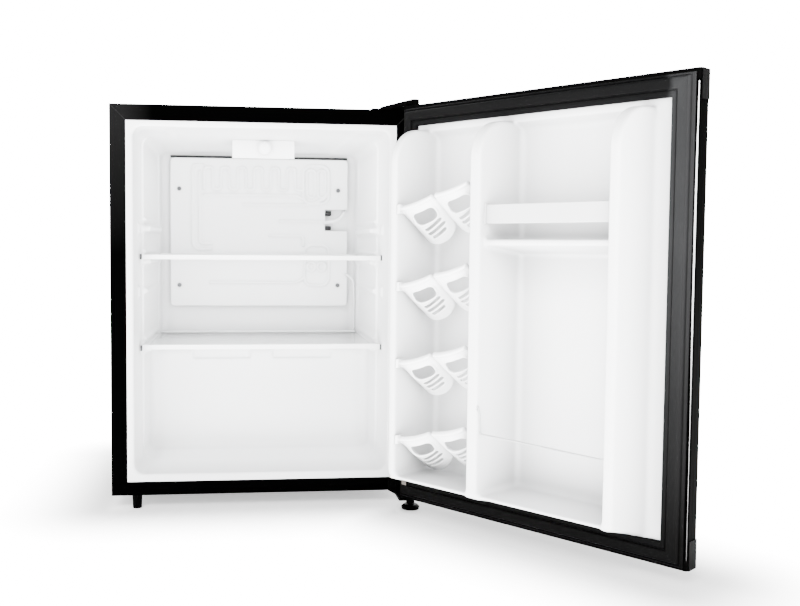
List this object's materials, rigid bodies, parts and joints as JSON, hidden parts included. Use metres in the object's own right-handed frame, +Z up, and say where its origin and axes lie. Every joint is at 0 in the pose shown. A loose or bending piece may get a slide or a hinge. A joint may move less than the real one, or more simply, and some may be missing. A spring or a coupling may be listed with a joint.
{
  "type": "mini fridge",
  "caption": "Compact single-door refrigerator with glass shelves, rear cooling plate, door racks for cans and bottles, and a lipped door gasket.",
  "frame": {"origin": "floor level at the centre of the cabinet's footprint, without the door", "axes": "+Z up; -Y is the side the door is on; +X to the hinge side. The door is modelled open by 128 degrees."},
  "size_m": [0.7589, 0.8181, 0.642],
  "materials": {
    "painted_black": "semi-gloss black",
    "galvanised": "galvanised",
    "white_plastic": "satin white",
    "foam": "rigid foam",
    "plate_aluminium": "white lacquer",
    "screw_steel": "zinc plated",
    "grey_plastic": "matte grey",
    "shelf_glass": "clear",
    "black_enamel": "enamel",
    "rubber": "matte",
    "black_plastic": "fine grain",
    "copper": "bright copper",
    "hinge_steel": "black coated",
    "door_black": "semi-gloss black",
    "door_liner_plastic": "satin white",
    "gasket": "matte dark grey",
    "magnet": "matte",
    "bush_plastic": "matte",
    "rack_plastic": "satin white",
    "rail_plastic": "satin",
    "wire_metal": "bright wire"
  },
  "bodies": {
    "cabinet": {"outer_shell": "painted_black", "front_bottom_rail": "painted_black", "back_panel": "galvanised", "bottom_panel": "galvanised", "cabinet_foam": "foam", "cabinet_liner": "white_plastic", "condenser_tube": "galvanised", "evaporator_plate": "plate_aluminium", "evaporator_channels": "plate_aluminium", "evaporator_spacers": "white_plastic", "evaporator_screws": "screw_steel", "suction_tube": "plate_aluminium", "sensor_tube": "plate_aluminium", "thermostat_housing": "white_plastic", "thermostat_switch": "grey_plastic", "compressor": "black_enamel", "compressor_grommets": "rubber", "compressor_bolts": "screw_steel", "start_relay": "black_plastic", "filter_drier": "copper", "compressor_tubes": "copper", "mounting_crossbar": "black_enamel", "drain_pan": "black_plastic", "drain_tube": "rubber", "cord_gland": "rubber", "front_left_foot": "black_plastic", "rear_feet": "black_plastic", "top_hinge_bracket": "hinge_steel", "top_hinge_pin": "hinge_steel", "top_hinge_screws": "hinge_steel", "top_hinge_cover": "black_plastic", "bottom_hinge_bracket": "hinge_steel", "bottom_hinge_pin": "hinge_steel", "bottom_hinge_screws": "hinge_steel"},
    "door": {"door_panel": "door_black", "door_top_cap": "black_plastic", "door_bottom_cap": "black_plastic", "door_foam": "foam", "door_rib_cores": "foam", "door_ledge_cores": "foam", "door_liner": "door_liner_plastic", "door_gasket": "gasket", "magnet_strips": "magnet", "hinge_bushes": "bush_plastic", "can_rack_1": "rack_plastic", "can_rack_2": "rack_plastic", "can_rack_3": "rack_plastic", "can_rack_4": "rack_plastic", "door_rail": "rail_plastic", "bottle_wire": "wire_metal"},
    "upper_shelf": {"upper_shelf_glass": "shelf_glass", "upper_shelf_front_trim": "white_plastic", "upper_shelf_rear_trim": "white_plastic"},
    "lower_shelf": {"lower_shelf_glass": "shelf_glass", "lower_shelf_front_trim": "white_plastic", "lower_shelf_rear_trim": "white_plastic"},
    "knob": {"thermostat_knob": "white_plastic"},
    "levelling_foot": {"levelling_foot": "black_plastic"}
  },
  "joints": [
    {"name": "door_hinge", "type": "hinge", "parent": "cabinet", "child": "door", "pos_m": [0.233, -0.2295, 0.3], "axis": [0, 0, 1], "range_deg": [-128, 22]},
    {"name": "upper_shelf_slide", "type": "slide", "parent": "cabinet", "child": "upper_shelf", "axis": [0, -1, 0], "range_m": [0, 0.16]},
    {"name": "lower_shelf_slide", "type": "slide", "parent": "cabinet", "child": "lower_shelf", "axis": [0, -1, 0], "range_m": [0, 0.16]},
    {"name": "thermostat_knob_turn", "type": "hinge", "parent": "cabinet", "child": "knob", "pos_m": [0.0055, -0.0555, 0.58], "axis": [0, -1, 0], "range_deg": [-135, 135]},
    {"name": "front_foot_turn", "type": "hinge", "parent": "cabinet", "child": "levelling_foot", "pos_m": [0.233, -0.2295, 0.01], "axis": [0, 0, 1], "continuous": true}
  ]
}
